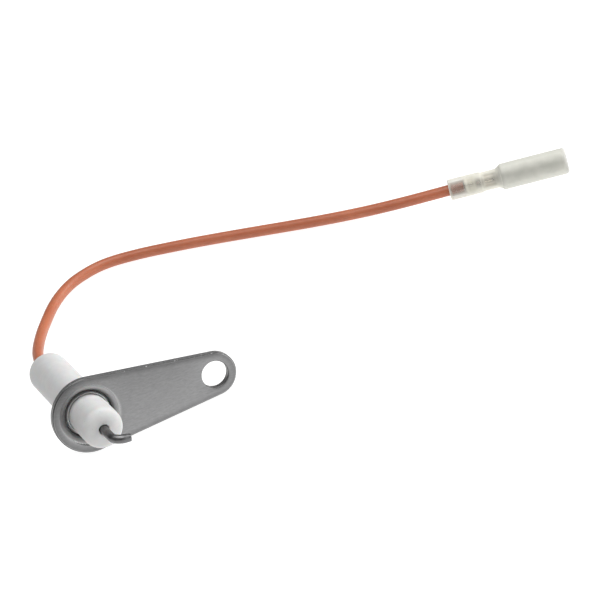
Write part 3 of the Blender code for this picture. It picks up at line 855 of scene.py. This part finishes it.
def make_rod():
    """Sensing rod, bent by hand: its thickness wanders very slightly along it, and its tip narrows a little
    to a square sheared end.
    """
    leg = Vector((math.cos(ROD_LEG_TURN), math.sin(ROD_LEG_TURN), 0))
    up = Vector((0, 0, 1))
    middle = leg * ROD_BEND_RADIUS + up * (ROD_TOP - ROD_BEND_RADIUS)
    points = []
    straight = 30
    for i in range(straight):
        points.append(up * (ROD_BOTTOM + (ROD_TOP - ROD_BEND_RADIUS - ROD_BOTTOM) * i / straight))
    for along, height in arc((0, 0), ROD_BEND_RADIUS, 180, 90, 24):
        points.append(middle + leg * along + up * height)
    tip = leg * (ROD_LEG_LENGTH - 0.0003) + up * ROD_TOP
    bend_end = points[-1]
    shares = (0.3, 0.6, 0.8, 0.93, 0.985, 1.0)
    points += [bend_end.lerp(tip, share) for share in shares]
    radii = [ROD_RADIUS * (1 + 0.006 * noise.noise(Vector((i * 0.37, 0, 0)))) for i in range(len(points))]
    radii[0] = ROD_RADIUS * 0.9
    radii[-6:] = [ROD_RADIUS * size for size in (0.97, 0.93, 0.90, 0.87, 0.85, 0.78)]
    piece = swept("sensing_rod", points, radii, probe_axes, rod_metal(), 40)
    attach(piece, "probe")
    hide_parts("electrode_rod")


def make_strands(name, low, high, matrix, node):
    """A bundle of nineteen twisted strands."""
    strand = 0.000128
    curve = bpy.data.curves.new(name, "CURVE")
    curve.dimensions = "3D"
    curve.bevel_depth = strand
    curve.bevel_resolution = 3
    curve.use_fill_caps = True
    lay = 0.009
    for ring, count in ((0.0, 1), (2.02 * strand, 6), (4.0 * strand, 12)):
        for number in range(count):
            spline = curve.splines.new("POLY")
            steps = 24
            spline.points.add(steps)
            for i, point in enumerate(spline.points):
                height = low + (high - low) * i / steps
                angle = math.tau * (number / count + (height - low) / lay)
                place = matrix @ Vector((ring * math.cos(angle), ring * math.sin(angle), height))
                point.co = (*place, 1.0)
            spline.use_smooth = True
    curve.materials.append(copper_strands())
    piece = link(name, curve)
    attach(piece, "probe")
    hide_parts(node)
    return piece


def make_ferrule():
    """Crimped joint tube with two rows of crimp dents."""
    soft = 0.00008
    profile = [(FERRULE_INNER_RADIUS, FERRULE_TOP), (FERRULE_OUTER_RADIUS - soft, FERRULE_TOP)]
    profile += [(FERRULE_OUTER_RADIUS, FERRULE_TOP - soft), (FERRULE_OUTER_RADIUS, FERRULE_BOTTOM + soft)]
    profile += [(FERRULE_OUTER_RADIUS - soft, FERRULE_BOTTOM), (FERRULE_INNER_RADIUS, FERRULE_BOTTOM)]
    profile = refined(profile, 0.0003)

    def dents(radius, height, angle):
        """Two rows of four dents on the outside."""
        if radius < FERRULE_OUTER_RADIUS - 2 * soft:
            return radius
        depth = 0.0
        for middle in (FERRULE_TOP - 0.0022, FERRULE_BOTTOM + 0.0022):
            along = math.exp(-(((height - middle) / 0.0007) ** 2))
            depth += along * (0.5 + 0.5 * math.cos(4 * angle)) ** 3
        return radius - 0.00022 * depth

    piece = turned("joint_ferrule", profile, probe_axes, ferrule_metal(), 64, dents)
    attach(piece, "probe")
    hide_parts("rod_ferrule")


def make_rear_seal():
    """Cement plug poured round the lead. Its face sinks a little between the ceramic and the wire."""
    outer = COUNTERBORE_RADIUS - 0.00004
    inner = WIRE_RADIUS + 0.00004
    low = -REAR_LENGTH + GAP
    high = low + SEAL_THICKNESS
    profile = [(inner, high), (outer, high), (outer, low)]
    for i in range(1, 10):
        share = i / 10
        profile.append((outer + (inner - outer) * share, low + 0.00028 * math.sin(math.pi * share)))
    profile.append((inner, low))

    def gritty(radius, height, angle):
        """Roughens only the face that shows."""
        if height > low + 0.0006:
            return radius
        return radius + 0.00003 * noise.noise(Vector((radius * 2500, angle * 5, 0)))

    piece = turned("cement_plug", profile, probe_axes, seal_cement(), 96, gritty)
    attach(piece, "probe")
    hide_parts("rear_seal")


# ---------------------------------------------------------------- terminal and sleeve

def bell(value, middle, half, edge):
    """1 within half of the middle, falling smoothly to 0 over the edge's width."""
    away = max(0.0, abs(value - middle) - half) / edge
    return 0.0 if away >= 1 else 1 - away * away * (3 - 2 * away)


def from_crimp_side(angle):
    """The angle measured from the side that the crimping tool pressed, between -pi and pi."""
    return math.atan2(math.sin(angle - CRIMP_SIDE), math.cos(angle - CRIMP_SIDE))


def crimp(height, angle):
    """How deep the crimping tool pressed, at a height along the sleeve and an angle round it."""
    turn = abs(from_crimp_side(angle))
    pinch = bell(height, GRIP_PINCH_HEIGHT, 0.0004, 0.0011) * bell(turn, 0.0, 0.35, 0.75) * 0.00030
    press = bell(height, CRIMP_PRESS_HEIGHT, 0.0012, 0.0005) * bell(turn, 0.0, 0.45, 0.45) * 0.00024
    return pinch + press


def make_sleeve():
    """Moulded nylon sleeve: barrel with a ledge, crimped neck and wide body."""
    mouth, step, end, shoulder = 0.0004, 0.0004, 0.00075, 0.0005
    barrel, barrel_end = SLEEVE_BARREL_RADIUS, SLEEVE_BARREL_LENGTH
    neck, neck_end = SLEEVE_NECK_RADIUS, SLEEVE_NECK_END
    body, body_start = SLEEVE_BODY_RADIUS, SLEEVE_BODY_START
    wire_bore, crimp_bore, socket = SLEEVE_WIRE_BORE_RADIUS, SLEEVE_CRIMP_BORE_RADIUS, SLEEVE_SOCKET_RADIUS
    profile = arc((barrel - mouth, mouth), mouth, -90, 0, 6)
    profile += [(barrel, barrel_end - 0.0002), (barrel - 0.00005, barrel_end)]
    profile += [(neck + 0.00004, barrel_end + step * 0.6), (neck, barrel_end + step), (neck, neck_end)]
    profile += [(neck + 0.00004, neck_end + 0.0003), (neck + 0.0002, neck_end + 0.0007)]
    profile += arc((body - shoulder, body_start - 0.0001 + shoulder), shoulder, -70, 0, 6)
    profile += arc((body - end, SLEEVE_LENGTH - end), end, 0, 90, 8)
    profile += [(socket + 0.00002, SLEEVE_LENGTH), (socket, SLEEVE_LENGTH - 0.0001)]
    profile += [(socket, body_start + 0.0006), (crimp_bore, neck_end)]
    profile += [(crimp_bore, WIRE_IN_SLEEVE + 0.0003), (wire_bore, WIRE_IN_SLEEVE)]
    profile += [(wire_bore, 0.0004), (wire_bore + 0.0003, 0.0)]
    profile = refined(profile, 0.00025)

    def pressed(radius, height, angle):
        """Follows the crimping tool's dents, a little less on the inner wall."""
        depth = crimp(height, angle)
        if radius < SLEEVE_NECK_RADIUS - 0.0002:
            depth *= 0.8
        return radius - depth

    piece = turned("nylon_sleeve", profile, connector_axes, frosted_nylon(), 96, pressed)
    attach(piece, "probe")
    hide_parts("terminal_sleeve")
    return piece


def make_terminal():
    """Stamped receptacle: insulation grip, open throat, wire crimp, and a rolled socket with a detent groove.

    It is a rolled strip, so a narrow seam runs along its pressed side and opens wide at the throat.
    """
    start, crimp_end, neck_height, socket_start = WIRE_IN_SLEEVE + GAP, 0.0118, 0.0122, 0.0134
    throat_radius, crimp_radius, neck_radius, least_bore = 0.00118, 0.00150, 0.00128, 0.00078
    grip, socket = TERMINAL_BARREL_RADIUS, TERMINAL_SOCKET_RADIUS
    detent, detent_start, detent_end, detent_slope = socket - 0.00035, 0.0193, 0.0215, 0.0005
    wall = TERMINAL_BARREL_RADIUS - TERMINAL_BARREL_BORE
    socket_wall = TERMINAL_SOCKET_RADIUS - TERMINAL_SOCKET_BORE
    outside = [(grip, start), (grip, GRIP_END - 0.0002)]
    outside += [(throat_radius, GRIP_END + 0.0003), (throat_radius, THROAT_END - 0.0003)]
    outside += [(crimp_radius, THROAT_END), (crimp_radius, crimp_end), (neck_radius, neck_height)]
    outside += [(socket, socket_start), (socket, detent_start), (detent, detent_start + detent_slope)]
    outside += [(detent, detent_end - detent_slope), (socket, detent_end)]
    outside += [(socket, TERMINAL_END - 0.0003), (socket - 0.0001, TERMINAL_END)]
    inside = []
    for radius, height in outside:
        bore = radius - (wall if height < neck_height else socket_wall)
        inside.append((max(bore, least_bore), height))
    profile = refined(outside + inside[::-1], 0.0003)
    throat_middle, throat_half = (GRIP_END + THROAT_END) / 2, (THROAT_END - GRIP_END) / 2
    seam_half_angle, throat_half_angle = 0.10, 0.62
    least_radius = 0.00072
    steps = 72

    def wings(height, angle):
        """The rolled-in wings of both crimps: a furrow along the side that the tool pressed."""
        furrow = math.exp(-(from_crimp_side(angle) / 0.28) ** 2)
        along = bell(height, 0.0054, 0.0011, 0.0005) + bell(height, 0.0102, 0.0014, 0.0005)
        return 0.00042 * furrow * min(along, 1.0)

    bm = bmesh.new()
    rings = []
    for radius, height in profile:
        open_share = bell(height, throat_middle, throat_half - 0.0002, 0.0005)
        opening = seam_half_angle + throat_half_angle * open_share
        ring = []
        for i in range(steps + 1):
            angle = CRIMP_SIDE + opening + (math.tau - 2 * opening) * i / steps
            r = max(radius - wings(height, angle), least_radius)
            ring.append(bm.verts.new((r * math.cos(angle), r * math.sin(angle), height)))
        rings.append(ring)
    for ring, following in zip(rings, rings[1:] + rings[:1]):
        for i in range(steps):
            bm.faces.new((ring[i], ring[i + 1], following[i + 1], following[i]))
    bm.faces.new([ring[0] for ring in rings])
    bm.faces.new([ring[-1] for ring in reversed(rings)])
    piece = finish_mesh("bullet_receptacle", bm, connector_axes, [terminal_tin()])
    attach(piece, "probe")
    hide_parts("bullet_terminal")
    return piece


# ---------------------------------------------------------------- studio

def make_studio():
    """Pale floor that glows a little, a bright even surrounding, and three large soft lights."""
    middle = Vector((0.04, 0.03, 0))
    floor_half, floor_drop = 2.5, 0.0001
    height = cad_low.z - floor_drop
    corners = [(x * floor_half, y * floor_half, height) for x, y in ((-1, -1), (1, -1), (1, 1), (-1, 1))]
    mesh = bpy.data.meshes.new("floor")
    mesh.from_pydata(corners, [], [(0, 1, 2, 3)])
    mesh.materials.append(floor_paper())
    link("floor", mesh)

    # The surrounding's strength by direction: brighter overhead, and a little brighter from the right.
    world = bpy.data.worlds.new("studio")
    world.use_nodes = True
    bpy.context.scene.world = world
    sky = world.node_tree
    background = sky.nodes["Background"]
    direction = sky.nodes.new("ShaderNodeTexCoord")
    parts = sky.nodes.new("ShaderNodeSeparateXYZ")
    sky.links.new(direction.outputs["Generated"], parts.inputs[0])
    total = sky.nodes.new("ShaderNodeMath")
    total.operation = "ADD"
    spans = (("Z", 0.0, 0.75, 0.95, 1.80), ("X", -0.7, 0.8, -0.06, 0.10))
    for socket, (axis, *numbers) in zip(total.inputs, spans):
        level = sky.nodes.new("ShaderNodeMapRange")
        level.interpolation_type = "SMOOTHSTEP"
        sky.links.new(parts.outputs[axis], level.inputs["Value"])
        for key, number in zip(("From Min", "From Max", "To Min", "To Max"), numbers):
            level.inputs[key].default_value = number
        sky.links.new(level.outputs[0], socket)
    sky.links.new(total.outputs[0], background.inputs["Strength"])

    # Name, place from the object's middle, side in metres and power in watts.
    lamps = (
        ("key_light", (0.75, -0.05, 0.42), 0.40, 4.0),
        ("top_light", (0.05, -0.10, 0.80), 0.60, 5.6),
        ("strip_light", (0.50, -0.62, 0.12), 0.26, 0.9),
    )
    for name, place, size, power in lamps:
        data = bpy.data.lights.new(name, "AREA")
        data.shape = "SQUARE"
        data.size = size
        data.energy = power
        lamp = link(name, data)
        lamp.location = middle + Vector(place)
        lamp.rotation_euler = Vector(place).to_track_quat("Z", "Y").to_euler()
    bpy.context.scene.view_settings.view_transform = "Standard"


make_bracket()
make_ceramic()
make_rod()
make_ferrule()
make_rear_seal()
make_strands("inner_strands", WIRE_START + GAP, INNER_CORE_TOP, probe_axes, "lead_conductor_inner")
outer_strands = make_strands("outer_strands", WIRE_IN_SLEEVE, OUTER_CORE_END, connector_axes,
                             "lead_conductor_outer")
sleeve = make_sleeve()
terminal = make_terminal()

lead.data.materials.append(wire_insulation())
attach(lead, "probe")
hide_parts("lead_wire")

make_studio()
